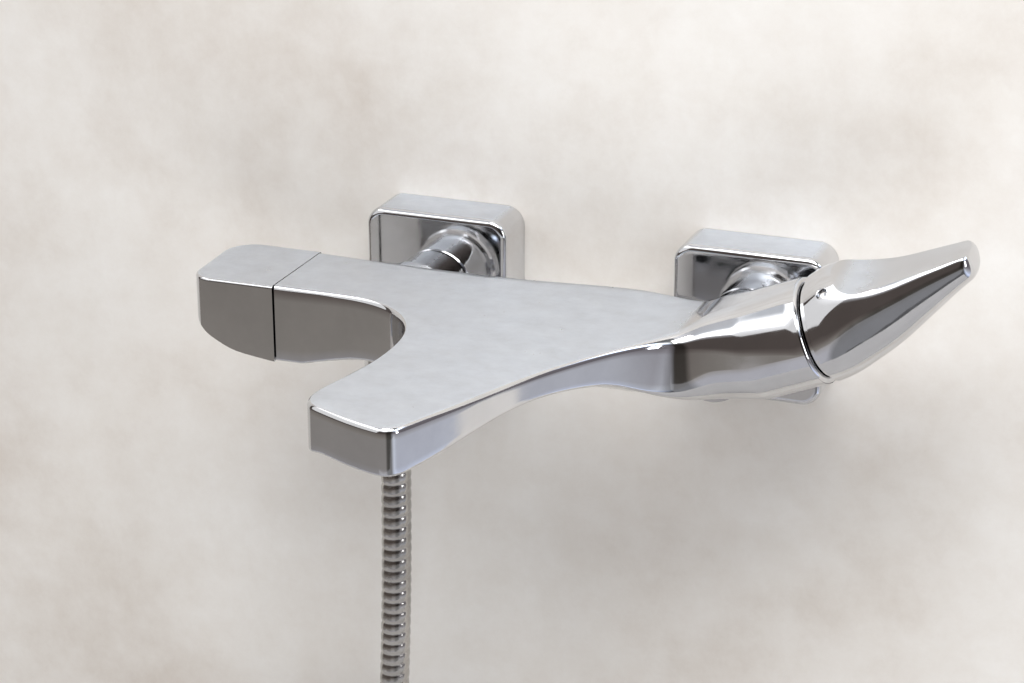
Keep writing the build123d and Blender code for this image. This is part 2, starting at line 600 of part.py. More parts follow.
# ---------------------------------------------------------------- everything
def main():
    nodes = {"body": make_body(), "diverter_knob": make_knob(), "knob_screw": make_knob_screw()}
    nodes.update(make_aerator())
    nodes.update(make_headwork())
    nodes.update(make_cartridge_shell())
    nodes.update(make_cartridge_works())
    nodes["lever_handle"] = make_lever()
    nodes["lever_screw"] = make_lever_screw()
    nodes["index_plug"] = make_index_plug()
    for side, x in (("left", -INLET_X), ("right", INLET_X)):
        tailpiece, nut, washer, union = make_inlet(x)
        plate, gasket = make_escutcheon(x)
        nodes[f"inlet_tailpiece_{side}"] = tailpiece
        nodes[f"union_nut_{side}"] = nut
        nodes[f"filter_washer_{side}"] = washer
        nodes[f"wall_union_{side}"] = union
        nodes[f"escutcheon_{side}"] = plate
        nodes[f"escutcheon_gasket_{side}"] = gasket
    nodes.update(make_outlet())
    nodes.update(make_hose_nut())
    nodes.update(make_hose())
    for name, shape in nodes.items():
        save(name, shape)
    print(len(nodes), "nodes")


main()
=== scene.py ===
import json
import math

import bmesh
import bpy
import numpy as np
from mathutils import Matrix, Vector


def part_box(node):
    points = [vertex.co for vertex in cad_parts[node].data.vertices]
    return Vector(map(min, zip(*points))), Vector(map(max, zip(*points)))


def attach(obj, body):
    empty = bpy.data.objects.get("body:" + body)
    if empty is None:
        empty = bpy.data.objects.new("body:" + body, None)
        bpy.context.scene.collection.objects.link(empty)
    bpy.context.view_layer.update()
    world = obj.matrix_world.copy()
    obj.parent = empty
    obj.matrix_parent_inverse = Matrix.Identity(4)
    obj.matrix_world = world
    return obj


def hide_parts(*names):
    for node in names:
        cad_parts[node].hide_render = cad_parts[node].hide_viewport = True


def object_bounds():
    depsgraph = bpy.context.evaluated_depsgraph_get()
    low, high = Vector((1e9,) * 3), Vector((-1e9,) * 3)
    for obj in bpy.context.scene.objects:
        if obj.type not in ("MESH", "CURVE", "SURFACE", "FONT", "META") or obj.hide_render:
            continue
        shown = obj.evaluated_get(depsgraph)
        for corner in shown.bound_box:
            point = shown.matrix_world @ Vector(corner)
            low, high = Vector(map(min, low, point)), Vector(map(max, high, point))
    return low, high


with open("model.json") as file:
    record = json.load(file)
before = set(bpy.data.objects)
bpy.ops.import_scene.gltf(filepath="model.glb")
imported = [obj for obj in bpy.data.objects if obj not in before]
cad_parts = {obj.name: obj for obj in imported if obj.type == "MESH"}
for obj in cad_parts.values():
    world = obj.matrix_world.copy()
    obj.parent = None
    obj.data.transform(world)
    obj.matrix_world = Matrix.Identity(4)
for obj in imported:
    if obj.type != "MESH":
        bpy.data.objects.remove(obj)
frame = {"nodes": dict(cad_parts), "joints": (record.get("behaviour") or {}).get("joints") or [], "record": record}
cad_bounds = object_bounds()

MM = 0.001
nodes = frame["nodes"]
joints = {joint["name"]: joint for joint in frame["joints"]}
mounts = {mount["name"]: mount for mount in frame["record"]["mounts"]}
scene = bpy.context.scene


def in_mm(place):
    """A place from the record, which is in metres, in millimetres."""
    return tuple(round(c / MM, 3) for c in place)


def middle(name):
    """Middle of a node's box, in millimetres."""
    low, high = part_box(name)
    return tuple(round((a + b) / 2 / MM, 1) for a, b in zip(low, high))


def link(obj):
    scene.collection.objects.link(obj)
    return obj


# ---------------------------------------------------------------- camera
CAMERA_PLACE = (0.333113, -0.993652, 0.372862)
CAMERA_YAW = math.radians(20.902)      # turned to the left of straight ahead
CAMERA_PITCH = math.radians(20.878)    # looking down
camera_data = bpy.data.cameras.new("camera")
camera_data.lens = 83.85
camera_data.sensor_width = 36.0
camera = link(bpy.data.objects.new("camera", camera_data))
camera.location = CAMERA_PLACE
camera.rotation_euler = (math.pi / 2 - CAMERA_PITCH, 0.0, CAMERA_YAW)
scene.camera = camera

# ---------------------------------------------------------------- hose
HOSE_D = 14.0 * MM
HOSE_Y = -82.0 * MM
# hanging part of the route: across and up
HOSE_ROUTE = [
    (-71.5, -52.0),
    (-71.8, -92.0),
    (-72.7, -136.0),
    (-74.2, -174.0),
    (-75.9, -203.9),
    (-80.0, -225.5),
    (-88.6, -245.7),
    (-101.2, -263.7),
    (-117.2, -278.7),
]
COIL_R = 84.0 * MM
COIL_ENTRY = 133.0    # degrees round the coil where the hose joins it
COIL_TURNS = 2 + (180 - COIL_ENTRY) / 360
STRAND_PITCH = 14.4 * MM
TAIL_LENGTH = 60.0 * MM
POINTS_PER_TURN = 18
TAIL_PARTS = (0.25, 0.62, 1.0)
CURVE_STEPS = 24      # points of the smooth line for each point of the route


def hose_points():
    """The hanging route, the turns of the coil, and the tail, in metres."""
    points = [Vector((x * MM, HOSE_Y, z * MM)) for x, z in HOSE_ROUTE]
    entry = math.radians(COIL_ENTRY)
    cx = points[-1].x - COIL_R * math.cos(entry)
    cz = points[-1].z - COIL_R * math.sin(entry)
    count = round(COIL_TURNS * POINTS_PER_TURN)
    step = COIL_TURNS * 2 * math.pi / count
    reach = COIL_R / math.cos(step / 2)
    for k in range(count):
        turn = (k + 0.5) * step
        angle = entry + turn
        y = HOSE_Y + STRAND_PITCH * turn / (2 * math.pi)
        points.append(Vector((cx + reach * math.cos(angle), y, cz + reach * math.sin(angle))))
    end_y = HOSE_Y + STRAND_PITCH * COIL_TURNS
    for drop in TAIL_PARTS:
        points.append(Vector((cx - COIL_R, end_y, cz - TAIL_LENGTH * drop)))
    return points


def curve_line(points, resolution):
    """Points along the smooth curve that has these control points."""
    data = bpy.data.curves.new("hose_line", "CURVE")
    data.dimensions = "3D"
    data.resolution_u = resolution
    spline = data.splines.new("NURBS")
    spline.points.add(len(points) - 1)
    for spot, point in zip(spline.points, points):
        spot.co = (*point, 1.0)
    spline.order_u = 3
    spline.use_endpoint_u = True
    obj = link(bpy.data.objects.new("hose_line", data))
    bpy.context.view_layer.update()
    mesh = bpy.data.meshes.new_from_object(obj)
    line = [v.co.copy() for v in mesh.vertices]
    bpy.data.objects.remove(obj)
    bpy.data.curves.remove(data)
    bpy.data.meshes.remove(mesh)
    return line


def resample(line, spacing):
    """Evenly spaced points along a polyline."""
    total = sum((b - a).length for a, b in zip(line, line[1:]))
    count = max(2, round(total / spacing))
    wanted = [total * i / count for i in range(count + 1)]
    out = []
    i = 0
    walked = 0.0
    for target in wanted:
        while i < len(line) - 2 and walked + (line[i + 1] - line[i]).length < target:
            walked += (line[i + 1] - line[i]).length
            i += 1
        leg = line[i + 1] - line[i]
        out.append(line[i] + leg * min(1.0, max(0.0, (target - walked) / leg.length)))
    return out


def carried_frames(line):
    """A pair of cross directions carried along the line without twist."""
    frames = []
    tangent = (line[1] - line[0]).normalized()
    side = tangent.cross(Vector((0, 1, 0))).normalized()
    for i, point in enumerate(line):
        ahead = line[min(i + 1, len(line) - 1)]
        behind = line[max(i - 1, 0)]
        tangent = (ahead - behind).normalized()
        side = (side - tangent * side.dot(tangent)).normalized()
        frames.append((point, side, tangent.cross(side)))
    return frames


RIDGE_PITCH = 5.45 * MM
RIDGE_STEPS = 10
HOSE_SIDES = 22
GROOVE_DEPTH = 0.85 * MM
CREST_SHARE = 0.985   # how much of its half ellipse each crest shows


def strip_profile(phase):
    """Radius of the strip-wound tube at one place of its helix: round crests meeting in narrow grooves."""
    offset = (2 * (phase - math.floor(phase)) - 1) * CREST_SHARE
    return HOSE_D / 2 - GROOVE_DEPTH * (1 - math.sqrt(1 - offset * offset))


def make_hose():
    line = curve_line(hose_points(), CURVE_STEPS)
    line = resample(line, RIDGE_PITCH / RIDGE_STEPS)
    verts = []
    for i, (point, side, across) in enumerate(carried_frames(line)):
        for k in range(HOSE_SIDES):
            angle = 2 * math.pi * k / HOSE_SIDES
            radius = strip_profile(i / RIDGE_STEPS - k / HOSE_SIDES)
            verts.append(point + side * (radius * math.cos(angle)) + across * (radius * math.sin(angle)))
    faces = []
    for i in range(len(line) - 1):
        for k in range(HOSE_SIDES):
            n = (k + 1) % HOSE_SIDES
            a, b = i * HOSE_SIDES, (i + 1) * HOSE_SIDES
            faces.append((a + k, a + n, b + n, b + k))
    faces.append(tuple(reversed(range(HOSE_SIDES))))
    last = (len(line) - 1) * HOSE_SIDES
    faces.append(tuple(last + k for k in range(HOSE_SIDES)))
    mesh = bpy.data.meshes.new("shower_hose")
    mesh.from_pydata([tuple(v) for v in verts], [], faces)
    mesh.validate()
    mesh.shade_smooth()
    obj = link(bpy.data.objects.new("shower_hose", mesh))
    return obj, line


hose, hose_line = make_hose()
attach(hose, "fixed")
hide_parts("hose_tube", "hose_coil", "hose_tail")


# ---------------------------------------------------------------- materials
def colour_ramp(tree, source, stops):
    """Colours by value: each stop is a position and a colour."""
    ramp = tree.nodes.new("ShaderNodeValToRGB")
    elements = ramp.color_ramp.elements
    while len(elements) < len(stops):
        elements.new(0.5)
    for element, (place, colour) in zip(elements, stops):
        element.position = place
        element.color = (*colour, 1.0)
    tree.links.new(source, ramp.inputs["Fac"])
    return ramp.outputs["Color"]


class Shader:
    """A node material whose surface detail is worked out in object space."""

    def __init__(self, name, **sockets):
        self.material = bpy.data.materials.new(name)
        self.material.use_nodes = True
        self.tree = self.material.node_tree
        self.shader = self.tree.nodes["Principled BSDF"]
        for key, value in sockets.items():
            self.shader.inputs[key.replace("_", " ")].default_value = value
        self.place = self.tree.nodes.new("ShaderNodeTexCoord").outputs["Object"]

    def noise(self, scale, detail=4.0, rough=0.55, stretch=(1, 1, 1)):
        mapping = self.tree.nodes.new("ShaderNodeMapping")
        mapping.inputs["Scale"].default_value = stretch
        self.tree.links.new(self.place, mapping.inputs["Vector"])
        noise = self.tree.nodes.new("ShaderNodeTexNoise")
        noise.inputs["Scale"].default_value = scale
        noise.inputs["Detail"].default_value = detail
        noise.inputs["Roughness"].default_value = rough
        self.tree.links.new(mapping.outputs["Vector"], noise.inputs["Vector"])
        return noise.outputs["Fac"]

    def ramp(self, source, stops):
        return colour_ramp(self.tree, source, stops)

    def spread(self, source, low, high, from_low=0.3, from_high=0.7):
        span = self.tree.nodes.new("ShaderNodeMapRange")
        span.inputs["From Min"].default_value = from_low
        span.inputs["From Max"].default_value = from_high
        span.inputs["To Min"].default_value = low
        span.inputs["To Max"].default_value = high
        self.tree.links.new(source, span.inputs["Value"])
        return span.outputs["Result"]

    def mix(self, factor, first, second):
        mix = self.tree.nodes.new("ShaderNodeMix")
        mix.data_type = "RGBA"
        self.tree.links.new(factor, mix.inputs[0])
        self.tree.links.new(first, mix.inputs[6])
        self.tree.links.new(second, mix.inputs[7])
        return mix.outputs[2]

    def feed(self, socket, source):
        self.tree.links.new(source, self.shader.inputs[socket])

    def bump(self, source, distance, strength=1.0):
        bump = self.tree.nodes.new("ShaderNodeBump")
        bump.inputs["Distance"].default_value = distance
        bump.inputs["Strength"].default_value = strength
        self.tree.links.new(source, bump.inputs["Height"])
        self.tree.links.new(bump.outputs["Normal"], self.shader.inputs["Normal"])


def chrome(name, low=(0.63, 0.635, 0.65), high=(0.71, 0.715, 0.73), rough=(0.04, 0.10), film_and_sky_sheen=True):
    """Polished plating: wiping haze, slight waviness, and on top faces a pale matte film with fine scuffs, tinted
    blue as a painted reflection of the sky.
    """
    s = Shader(name, Metallic=1.0)
    haze = s.noise(38.0, 6.0, 0.62)
    colour = s.ramp(haze, [(0.3, low), (0.7, high)])
    wiped = s.spread(s.noise(150.0, 5.0, 0.6, (1.0, 0.25, 1.0)), *rough)
    # On top faces: a paler, rougher film with fine scuffs; its blue tint is a painted reflection of the sky.
    if film_and_sky_sheen:
        split = s.tree.nodes.new("ShaderNodeSeparateXYZ")
        s.tree.links.new(s.tree.nodes.new("ShaderNodeTexCoord").outputs["Normal"], split.inputs["Vector"])
        upward = s.spread(split.outputs["Z"], 0.0, 1.0, 0.86, 0.995)
        scuffs_and_sky_sheen = s.ramp(s.noise(95.0, 9.0, 0.72, (0.8, 1.0, 1.0)),
                        [(0.28, (0.65, 0.695, 0.76)), (0.5, (0.71, 0.76, 0.835)),
                         (0.72, (0.77, 0.825, 0.90))])
        colour = s.mix(upward, colour, scuffs_and_sky_sheen)
        worn = s.spread(s.noise(60.0, 9.0, 0.75), 0.26, 0.40)
        wiped = s.mix(upward, wiped, worn)
    s.feed("Base Color", colour)
    s.feed("Roughness", wiped)
    s.bump(s.noise(55.0, 2.0, 0.4), 0.00002)
    return s.material


def brass(name):
    s = Shader(name, Metallic=1.0)
    tarnish = s.noise(90.0, 6.0, 0.6)
    s.feed("Base Color", s.ramp(tarnish, [(0.3, (0.50, 0.36, 0.16)), (0.7, (0.74, 0.58, 0.30))]))
    s.feed("Roughness", s.spread(s.noise(400.0, 4.0, 0.6), 0.22, 0.42))
    s.bump(s.noise(900.0, 3.0, 0.6, (1, 6, 1)), 0.00003)
    return s.material


def dull(name, dark, light, rough, grain, depth, specular=0.5):
    """Rubber, plastic and ceramic: mottled colour, fine grain."""
    s = Shader(name)
    s.shader.inputs["Specular IOR Level"].default_value = specular
    s.feed("Base Color", s.ramp(s.noise(grain * 0.3, 5.0, 0.6), [(0.3, dark), (0.7, light)]))
    s.feed("Roughness", s.spread(s.noise(grain, 4.0, 0.6), *rough))
    s.bump(s.noise(grain, 3.0, 0.6), depth)
    return s.material


BY_SLOT = {
    "chrome": chrome("polished_chrome"),
    "steel_hose": chrome("hose_steel", (0.40, 0.39, 0.375), (0.58, 0.565, 0.545), (0.14, 0.28), film_and_sky_sheen=False),
    "brass": brass("machined_brass"),
    "steel": chrome("screw_steel", (0.38, 0.38, 0.40), (0.52, 0.52, 0.54), (0.2, 0.34), film_and_sky_sheen=False),
    "rubber": dull("black_rubber", (0.012, 0.012, 0.013), (0.03, 0.03, 0.032), (0.55, 0.8), 700.0, 0.00004,
                   specular=0.3),
    "ceramic": dull("lapped_ceramic", (0.78, 0.76, 0.70), (0.88, 0.86, 0.82), (0.12, 0.25), 500.0, 0.00001),
    "tie_plastic": dull("tie_nylon", (0.02, 0.02, 0.022), (0.05, 0.05, 0.052), (0.35, 0.5), 600.0, 0.00003),
    "plastic": dull("cartridge_plastic", (0.66, 0.66, 0.63), (0.80, 0.80, 0.77), (0.35, 0.5), 600.0, 0.00002),
}
slot_of = {part["node"]: part["material_slot"] for part in frame["record"]["subparts"]}
for name, obj in nodes.items():
    for material_slot in obj.material_slots:
        material_slot.material = BY_SLOT[slot_of[name]]
hose.data.materials.append(BY_SLOT["steel_hose"])


# ---------------------------------------------------------------- solid visuals
def c2_curve(points):
    """A smooth curve through given points: returns its place and direction at any of its knots."""
    pts = np.array(points, float)
    knots = np.concatenate([[0.0], np.cumsum(np.linalg.norm(np.diff(pts, axis=0), axis=1) ** 0.8)])
    gap = np.diff(knots)
    n = len(pts)
    system = np.zeros((n, n))
    right = np.zeros_like(pts)
    system[0, 0] = system[-1, -1] = 1.0
    for i in range(1, n - 1):
        system[i, i - 1:i + 2] = gap[i - 1], 2 * (gap[i - 1] + gap[i]), gap[i]
        right[i] = 6 * ((pts[i + 1] - pts[i]) / gap[i] - (pts[i] - pts[i - 1]) / gap[i - 1])
    bend = np.linalg.solve(system, right)

    def at(t):
        i = int(np.clip(np.searchsorted(knots, t) - 1, 0, n - 2))
        h = gap[i]
        a = (knots[i + 1] - t) / h
        b = 1 - a
        near, far = bend[i], bend[i + 1]
        place = a * pts[i] + b * pts[i + 1] + ((a ** 3 - a) * near + (b ** 3 - b) * far) * h * h / 6
        slope = (pts[i + 1] - pts[i]) / h + ((3 * b * b - 1) * far - (3 * a * a - 1) * near) * h / 6
        return place, slope / np.linalg.norm(slope)

    return knots, at


def ease(x, low, high):
    """Smooth step from 0 at low to 1 at high."""
    t = min(1.0, max(0.0, (x - low) / (high - low)))
    return t * t * (3 - 2 * t)


def solid(name, loops, material):
    """Closed skin through a row of equal loops (millimetres), capped at both ends."""
    count = len(loops[0])
    verts = [tuple(c * MM for c in point) for loop in loops for point in loop]
    faces = [tuple(reversed(range(count)))]
    for i in range(len(loops) - 1):
        for k in range(count):
            n = (k + 1) % count
            faces.append((i * count + k, i * count + n, (i + 1) * count + n, (i + 1) * count + k))
    faces.append(tuple((len(loops) - 1) * count + k for k in range(count)))
    mesh = bpy.data.meshes.new(name)
    mesh.from_pydata(verts, [], faces)
    bm = bmesh.new()
    bm.from_mesh(mesh)
    bmesh.ops.recalc_face_normals(bm, faces=bm.faces)
    bm.to_mesh(mesh)
    bm.free()
    mesh.materials.append(material)
    return link(bpy.data.objects.new(name, mesh))


def ring_loop(centre, side, across, radius, count):
    """Points round a circle that has these two cross directions."""
    turns = [2 * math.pi * k / count for k in range(count)]
    return [centre + (side * math.cos(a) + across * math.sin(a)) * radius for a in turns]


def round_bar(place, along, radius, low, high, sides=72):
    """Closed cylinder (millimetres) used to add a boss or cut a bore."""
    axis = Vector(along).normalized()
    side = axis.orthogonal().normalized()
    across = axis.cross(side)
    loops = [ring_loop(Vector(place) + axis * height, side, across, radius, sides) for height in (low, high)]
    return solid("bar", loops, BY_SLOT["chrome"])


def join_or_cut(obj, operation, tools, sharp=38.0):
    """Apply each tool in turn, then shade smooth except at real edges."""
    for tool in tools:
        modifier = obj.modifiers.new("shape", "BOOLEAN")
        modifier.operation = operation
        modifier.solver = "EXACT"
        modifier.object = tool
        bpy.context.view_layer.update()
        mesh = bpy.data.meshes.new_from_object(obj.evaluated_get(bpy.context.evaluated_depsgraph_get()))
        obj.modifiers.clear()
        old = obj.data
        obj.data = mesh
        bpy.data.meshes.remove(old)
        bpy.data.objects.remove(tool)
    obj.data.shade_smooth()
    obj.data.set_sharp_from_angle(angle=math.radians(sharp))


# ---------------------------------------------------------------- body
barrel_axis = joints["lever_turn"]["axis"]
TILT = math.radians(round(math.degrees(math.atan2(barrel_axis[2], barrel_axis[0])), 2))
RING = Vector(in_mm(joints["lever_turn"]["pos_m"]))      # middle of the barrel's open end
SPINDLE = in_mm(joints["diverter_turn"]["pos_m"])
LEFT_INLET = (in_mm(mounts["inlet_thread_left"]["pos_m"])[0], 0, 0)
RIGHT_INLET = (in_mm(mounts["inlet_thread_right"]["pos_m"])[0], 0, 0)
OUTLET = (*middle("outlet_nipple")[:2], 0)
AERATOR = (*middle("aerator_housing")[:2], 0)
TOP_Z = round(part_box("diverter_knob")[1][2] / MM, 1)
FORWARD = (0, -1, 0)
UPWARD = (0, 0, 1)
AXIS_DIR = Vector((math.cos(TILT), 0.0, math.sin(TILT)))
UP_DIR = Vector((-math.sin(TILT), 0.0, math.cos(TILT)))
EDGE_R = 1.9            # top edge: how far down its rounding reaches
EDGE_IN = 1.35          # and how far in
EDGE_POWER = 1.45       # 2 would be an ellipse, 1 a chamfer
FOOT_R = 1.6
RIM_R = 2.5
THREAD_R = 10.58        # bores for the tailpieces and the outlet
SKIN_GAP = 0.4          # keeps the barrel's roundings from meeting
SPOUT_Y = -112.0        # in front of this the casting is only spout
BARREL_BLEND = (44, 84)     # X where the plate's section turns into the barrel's
BELLY_BLEND = (40, 84)      # X where the underside rounds off

# outlines seen from above (X, Y), and the underside along the spout (Y, Z)
REAR_LINE = [(-117.5, -58.5), (-84, -60.0), (-50, -60.2), (-10, -58.2), (38, -54.2), (52, -56.6), (66, -58.2),
             (97, -57.3), (112, -57.0), (123, -57.0)]
FRONT_LINE = [(-117.5, -107.5), (-100, -107.5), (-84, -107.7), (-71, -110.0), (-57.5, -116.8),
              (-48.2, -126.5),
              (-42.0, -140.0), (-39.8, -155.0), (-41.2, -180.0), (-45.6, -200.0), (-48.1, -212.5),
              (-47.7, -219.5), (-44.6, -225.2), (-39.0, -228.6), (-25.0, -234.6), (-13.0, -238.2),
              (-7.2, -238.6), (-3.0, -236.3), (0.5, -230.0), (7.0, -214.6), (25.7, -169.0), (38.5, -145.2),
              (49.0, -129.0), (60.0, -116.6), (71.0, -109.6), (84.0, -107.2), (104.0, -107.0), (123, -107.0)]
# where along the rear line (by X) each part of the front line looks to
PAIRING = [(0, -117.5), (2, -84), (4, -70), (7, -46), (8, -24), (10, 0), (14, 12), (18, 21), (20, 34),
           (22, 49),
           (24, 71), (25, 84), (26, 104), (27, 123)]
UNDER_LINE = [(-250, 1.2), (-232, 2.6), (-212, 5.2), (-176, 10.4), (-136, 8.0), (-110, -0.5), (-84, -13.5),
              (-74, -13.5), (-62, -10.0), (-54, -1.0)]
# underside of the branch: the keel's height, and the height of its edges by X
KEEL_Z = -13.7
BRANCH_X = [-117.5, -105, -93, -81, -66.0]
BRANCH_EDGE = [-13.7, -13.5, -10.6, -7.9, -6.2]
# the barrel's section by X: centre height, tilt in degrees, height above and below the centre
BARREL_X = [34, 46, 70, 97, 123]
BARREL_CENTRE = [4.0, 4.6, 6.2, 12.0, 23.0]
BARREL_TILT = [0.0, 3.5, 11.0, 21.0, 24.0]
BARREL_UP = [17.6, 17.4, 19.2, 24.0, 25.0]
BARREL_LOW = [16.0, 16.2, 17.0, 20.3, 20.5]


def under_height(x, y):
    """Height of the underside: arched under the spout, a shallow keel under the branch."""
    z = float(np.interp(y, [p[0] for p in UNDER_FINE], [p[1] for p in UNDER_FINE]))
    edge = float(np.interp(x, BRANCH_X, BRANCH_EDGE))
    away = max(0.0, -84.0 - y, y + 74.0) / 23.5
    branch = KEEL_Z + (edge - KEEL_Z) * min(away, 1.0) ** 1.5
    return z + (min(z, branch) - z) * (1 - ease(x, -66, -36))


def even(a, b, count):
    """Points strictly between two ends."""
    return [tuple(p + (q - p) * k / (count + 1) for p, q in zip(a, b)) for k in range(1, count + 1)]


def soft_edge(a):
    """Top edge profile, nearly a chamfer: distance in from the wall and down from the top."""
    c, d = max(0.0, math.cos(a)), max(0.0, math.sin(a))
    return EDGE_IN * (1 - c ** EDGE_POWER), EDGE_R * (1 - d ** EDGE_POWER)


def barrel_sizes(x):
    """Centre height, tilt, and height above and below the centre."""
    centre, tilt, up, low = (float(np.interp(x, BARREL_X, sizes))
                             for sizes in (BARREL_CENTRE, BARREL_TILT, BARREL_UP, BARREL_LOW))
    return centre, math.radians(tilt), up, low


def body_loop(rear, rear_dir, front, front_dir, inset=0.0, slide=0.0):
    """One loop of the casting: rear wall, top, front wall, underside."""
    rear_in = np.array((rear_dir[1], -rear_dir[0]))
    front_in = np.array((-front_dir[1], front_dir[0]))
    x = 0.5 * (rear[0] + front[0]) if front[1] < SPOUT_Y else front[0]
    blend = ease(x, *BARREL_BLEND)
    round_off = 0.0 if x < 40 else min(1.0, (x - 40) / 79) ** 1.15
    foot_rear = under_height(rear[0], rear[1])
    foot_front = under_height(front[0], front[1])

    def flat(edge, inward, across, z):
        place = edge + inward * across
        return Vector((place[0], place[1], z))

    # the plate's loop
    plate = []
    foot = foot_rear + FOOT_R
    plate += [flat(rear, rear_in, 0, z) for z in np.linspace(foot, TOP_Z - EDGE_R, 6)]
    for k in range(1, 9):
        across, down = soft_edge(math.pi / 2 * k / 8)
        plate.append(flat(rear, rear_in, across, TOP_Z - down))
    start, end = flat(rear, rear_in, EDGE_IN, TOP_Z), flat(front, front_in, EDGE_IN, TOP_Z)
    plate += [start.lerp(end, k / 25) for k in range(1, 25)]
    for k in range(0, 13):
        across, down = soft_edge(math.pi / 2 * (1 - k / 12))
        plate.append(flat(front, front_in, across, TOP_Z - down))
    foot = foot_front + FOOT_R
    plate += [flat(front, front_in, 0, z) for z in np.linspace(TOP_Z - EDGE_R, foot, 8)[1:]]
    for k in range(1, 9):
        a = math.pi / 2 * k / 8
        plate.append(flat(front, front_in, FOOT_R * (1 - math.cos(a)), foot - FOOT_R * math.sin(a)))
    start, end = flat(front, front_in, FOOT_R, 0), flat(rear, rear_in, FOOT_R, 0)
    for k in range(1, 25):
        spot = start.lerp(end, k / 25)
        spot.z = under_height(spot.x, spot.y)
        plate.append(spot)
    for k in range(0, 8):
        a = math.pi / 2 * k / 8
        plate.append(flat(rear, rear_in, FOOT_R * (1 - math.sin(a)), foot_rear + FOOT_R * (1 - math.cos(a))))
    if blend <= 0 and slide == 0:
        return plate

    # the barrel's loop, in its own tilted plane
    centre_z, tilt, up, low = barrel_sizes(x)
    y_rear, y_front = rear[1] - inset, front[1] + inset
    up, low = up - inset, low - inset
    half = (y_rear - y_front) / 2
    top_r = EDGE_R + (half - SKIN_GAP - EDGE_R) * round_off
    top_rz = EDGE_R + (up - SKIN_GAP - EDGE_R) * round_off
    belly = ease(x, *BELLY_BLEND)
    low_r = FOOT_R + (half - SKIN_GAP - FOOT_R) * belly
    low_rz = FOOT_R + (low - SKIN_GAP - FOOT_R) * belly
    ring = [(y_rear, n) for n in np.linspace(-low + low_rz, up - top_rz, 6)]
    for k in range(1, 9):
        a = math.pi / 2 * k / 8
        ring.append((y_rear - top_r * (1 - math.cos(a)), up - top_rz * (1 - math.sin(a))))
    ring += even((y_rear - top_r, up), (y_front + top_r, up), 24)
    for k in range(0, 13):
        a = math.pi / 2 * k / 12
        ring.append((y_front + top_r * (1 - math.sin(a)), up - top_rz * (1 - math.cos(a))))
    ring += [(y_front, n) for n in np.linspace(up - top_rz, -low + low_rz, 8)[1:]]
    for k in range(1, 9):
        a = math.pi / 2 * k / 8
        ring.append((y_front + low_r * (1 - math.cos(a)), -low + low_rz * (1 - math.sin(a))))
    ring += even((y_front + low_r, -low), (y_rear - low_r, -low), 24)
    for k in range(0, 8):
        a = math.pi / 2 * k / 8
        ring.append((y_rear - low_r * (1 - math.sin(a)), -low + low_rz * (1 - math.cos(a))))
    place = Vector((x + slide * math.cos(TILT), 0, centre_z + slide * math.sin(TILT)))
    up_way = Vector((-math.sin(tilt), 0, math.cos(tilt)))
    barrel = [place + Vector((0, y, 0)) + up_way * n for y, n in ring]
    return [p.lerp(b, blend) for p, b in zip(plate, barrel)]


def make_body():
    front_knots, front_at = c2_curve(FRONT_LINE)
    rear_knots, rear_at = c2_curve(REAR_LINE)
    rear_x = [p[0] for p in REAR_LINE]
    loops = []
    steps = []
    for i in range(len(FRONT_LINE) - 1):
        span = math.dist(FRONT_LINE[i], FRONT_LINE[i + 1])
        count = max(3, round(span / 1.5))
        steps += [i + k / count for k in range(count)]
    steps.append(len(FRONT_LINE) - 1.0)
    for step in steps:
        t = float(np.interp(step, range(len(front_knots)), front_knots))
        front, front_dir = front_at(t)
        x = float(np.interp(step, [p[0] for p in PAIRING], [p[1] for p in PAIRING]))
        rear, rear_dir = rear_at(float(np.interp(x, rear_x, rear_knots)))
        if step == len(FRONT_LINE) - 1.0:
            for k in range(0, 9):
                a = math.pi / 2 * k / 8
                loops.append(body_loop(rear, rear_dir, front, front_dir, RIM_R * (1 - math.cos(a)),
                                       -RIM_R * (1 - math.sin(a)) - 1e-6))
        else:
            loops.append(body_loop(rear, rear_dir, front, front_dir))
    body = solid("body_casting", loops, BY_SLOT["chrome"])
    join_or_cut(body, "UNION", [
        round_bar((LEFT_INLET[0], -58, 0), FORWARD, 15.5, 0, 22),
        round_bar((RIGHT_INLET[0], -58, 0), FORWARD, 15.5, 0, 22),
        round_bar((OUTLET[0], OUTLET[1], -17.5), UPWARD, 13.5, 0, 11.5),
    ])
    join_or_cut(body, "DIFFERENCE", [
        round_bar(RING, AXIS_DIR, 17.6, -34, 2),
        round_bar(RING, AXIS_DIR, 18.1, -8, 2),
        round_bar(SPINDLE, (1, 0, 0), 11.1, -1, 29.5),
        round_bar(LEFT_INLET, FORWARD, THREAD_R, 57, 69),
        round_bar(RIGHT_INLET, FORWARD, THREAD_R, 57, 64),
        round_bar(OUTLET, UPWARD, THREAD_R, -18, -6),
        round_bar(AERATOR, UPWARD, 11.6, 0, 15.4),
    ])
    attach(body, "fixed")
    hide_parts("body")


UNDER_KNOTS, under_at = c2_curve(UNDER_LINE)
UNDER_FINE = [tuple(under_at(float(t))[0]) for t in np.linspace(0, UNDER_KNOTS[-1], 120)]
make_body()


